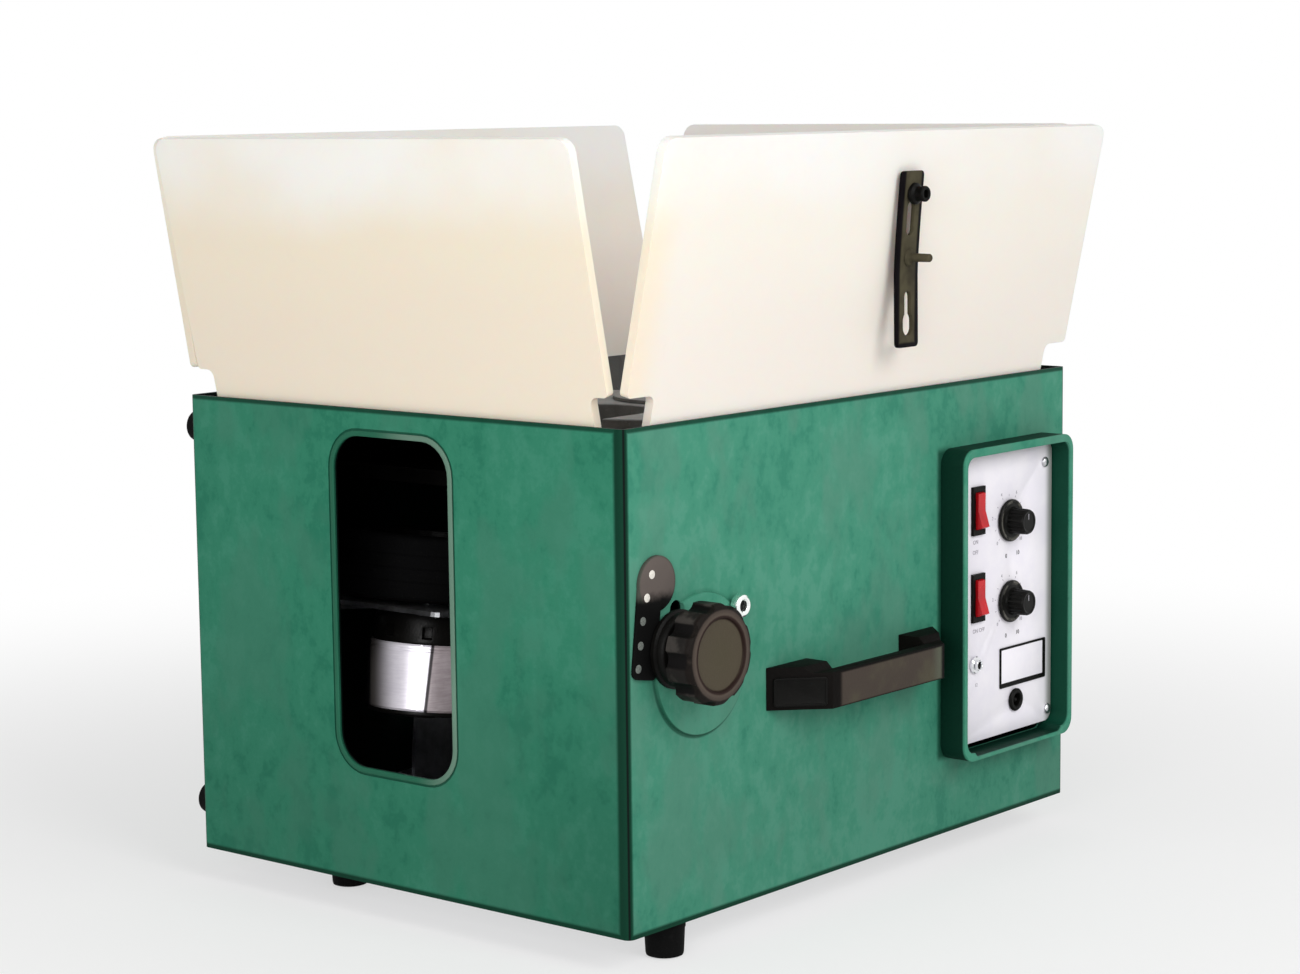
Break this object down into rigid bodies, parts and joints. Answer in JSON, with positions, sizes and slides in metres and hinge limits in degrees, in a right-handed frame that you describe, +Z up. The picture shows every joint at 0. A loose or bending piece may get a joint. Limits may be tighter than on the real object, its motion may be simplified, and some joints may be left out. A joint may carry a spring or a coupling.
{
  "type": "pickleball machine",
  "caption": "Ball-throwing practice machine: open hopper over a rotating feed carousel, tilting head with two throwing wheels, tall ball exit, side control panel and carry handle.",
  "frame": {"origin": "on the floor under the middle of the casing, level with the feet's undersides", "axes": "+Z up; -Y is the front, where the ball exit is; +X is the side with the controls, knob and carry handle"},
  "size_m": [0.4484, 0.5454, 0.496],
  "materials": {
    "green_casing": "satin, mottled grain",
    "white_hopper": "smooth, slightly translucent",
    "black_plastic": "satin",
    "brown_black_plastic": "satin",
    "black_rubber": "matt",
    "dark_tyre": "matt",
    "grey_plastic": "satin",
    "zinc_steel": "zinc plated",
    "dull_steel": "satin",
    "aluminium": "mill finish",
    "chrome": "polished",
    "white_plate": "semi-gloss",
    "red_rocker": "gloss, translucent",
    "green_board": "satin",
    "dark_battery": "satin"
  },
  "bodies": {
    "machine": {"casing_shell": "green_casing", "base_pan": "zinc_steel", "foot_front_left": "black_rubber", "foot_front_right": "black_rubber", "foot_rear_left": "black_rubber", "foot_rear_right": "black_rubber", "side_foot_front_lower": "black_rubber", "side_foot_front_upper": "black_rubber", "side_foot_rear_lower": "black_rubber", "side_foot_rear_upper": "black_rubber", "feed_deck": "black_plastic", "drop_chute": "black_plastic", "feed_gearmotor": "dull_steel", "pivot_bracket_left": "zinc_steel", "pivot_bracket_right": "zinc_steel", "pivot_pin_left": "zinc_steel", "pivot_pin_right": "zinc_steel", "battery": "dark_battery", "battery_clamp": "zinc_steel", "elevation_scale": "black_plastic", "latch_stud": "chrome", "control_box": "green_casing", "control_plate": "white_plate", "switch_body_upper": "black_plastic", "switch_body_lower": "black_plastic", "dial_pot_upper": "dull_steel", "dial_pot_lower": "dull_steel", "remote_jack": "chrome", "charge_socket": "black_plastic", "circuit_board": "green_board", "carry_handle": "brown_black_plastic", "handle_cap_front": "black_plastic", "handle_cap_rear": "black_plastic"},
    "feed_wheel": {"feed_carousel": "grey_plastic", "carousel_cap": "grey_plastic"},
    "throwing_head": {"head_cradle": "zinc_steel", "guide_trough": "aluminium", "throwing_motor_left": "dull_steel", "throwing_motor_right": "dull_steel", "elevation_stud": "zinc_steel", "elevation_washer": "black_plastic"},
    "left_wheel": {"wheel_hub_left": "black_plastic", "wheel_tyre_left": "dark_tyre"},
    "right_wheel": {"wheel_hub_right": "black_plastic", "wheel_tyre_right": "dark_tyre"},
    "clamp_knob": {"elevation_knob": "black_plastic"},
    "hopper": {"hopper_floor": "black_plastic", "hopper_panel_front": "white_hopper", "hopper_panel_rear": "white_hopper", "hopper_panel_left": "white_hopper", "hopper_panel_right": "white_hopper", "latch_button": "black_plastic"},
    "strap": {"latch_strap": "black_plastic"},
    "upper_rocker": {"switch_rocker_upper": "red_rocker"},
    "lower_rocker": {"switch_rocker_lower": "red_rocker"},
    "upper_dial": {"dial_knob_upper": "black_plastic"},
    "lower_dial": {"dial_knob_lower": "black_plastic"}
  },
  "joints": [
    {"name": "feed_spin", "type": "hinge", "parent": "machine", "child": "feed_wheel", "pos_m": [0, 0.05, 0.272], "axis": [0, 0, 1], "continuous": true},
    {"name": "head_tilt", "type": "hinge", "parent": "machine", "child": "throwing_head", "pos_m": [0, -0.02, 0.172], "axis": [-1, 0, 0], "range_deg": [-6, 7.5]},
    {"name": "left_wheel_spin", "type": "hinge", "parent": "throwing_head", "child": "left_wheel", "pos_m": [-0.097, -0.10832, 0.20461], "axis": [0, 0.1392, 0.9903], "continuous": true},
    {"name": "right_wheel_spin", "type": "hinge", "parent": "throwing_head", "child": "right_wheel", "pos_m": [0.097, -0.10832, 0.20461], "axis": [0, 0.1392, 0.9903], "continuous": true},
    {"name": "clamp_knob_turn", "type": "hinge", "parent": "throwing_head", "child": "clamp_knob", "pos_m": [0.1875, -0.19785, 0.19226], "axis": [1, 0, 0], "range_deg": [0, 270]},
    {"name": "hopper_lift", "type": "slide", "parent": "machine", "child": "hopper", "axis": [0, 0, 1], "range_m": [0, 0.06]},
    {"name": "strap_swing", "type": "hinge", "parent": "hopper", "child": "strap", "pos_m": [0.21149, 0.013, 0.45396], "axis": [0.9781, 0, -0.2079], "range_deg": [-90, 90]},
    {"name": "upper_rocker_tip", "type": "hinge", "parent": "machine", "child": "upper_rocker", "pos_m": [0.1939, 0.12, 0.239], "axis": [0, 1, 0], "range_deg": [0, 16]},
    {"name": "lower_rocker_tip", "type": "hinge", "parent": "machine", "child": "lower_rocker", "pos_m": [0.1939, 0.12, 0.1796], "axis": [0, 1, 0], "range_deg": [0, 16]},
    {"name": "upper_dial_turn", "type": "hinge", "parent": "machine", "child": "upper_dial", "pos_m": [0.1931, 0.1595, 0.228], "axis": [1, 0, 0], "range_deg": [-150, 150]},
    {"name": "lower_dial_turn", "type": "hinge", "parent": "machine", "child": "lower_dial", "pos_m": [0.1931, 0.16, 0.172], "axis": [1, 0, 0], "range_deg": [-150, 150]}
  ]
}
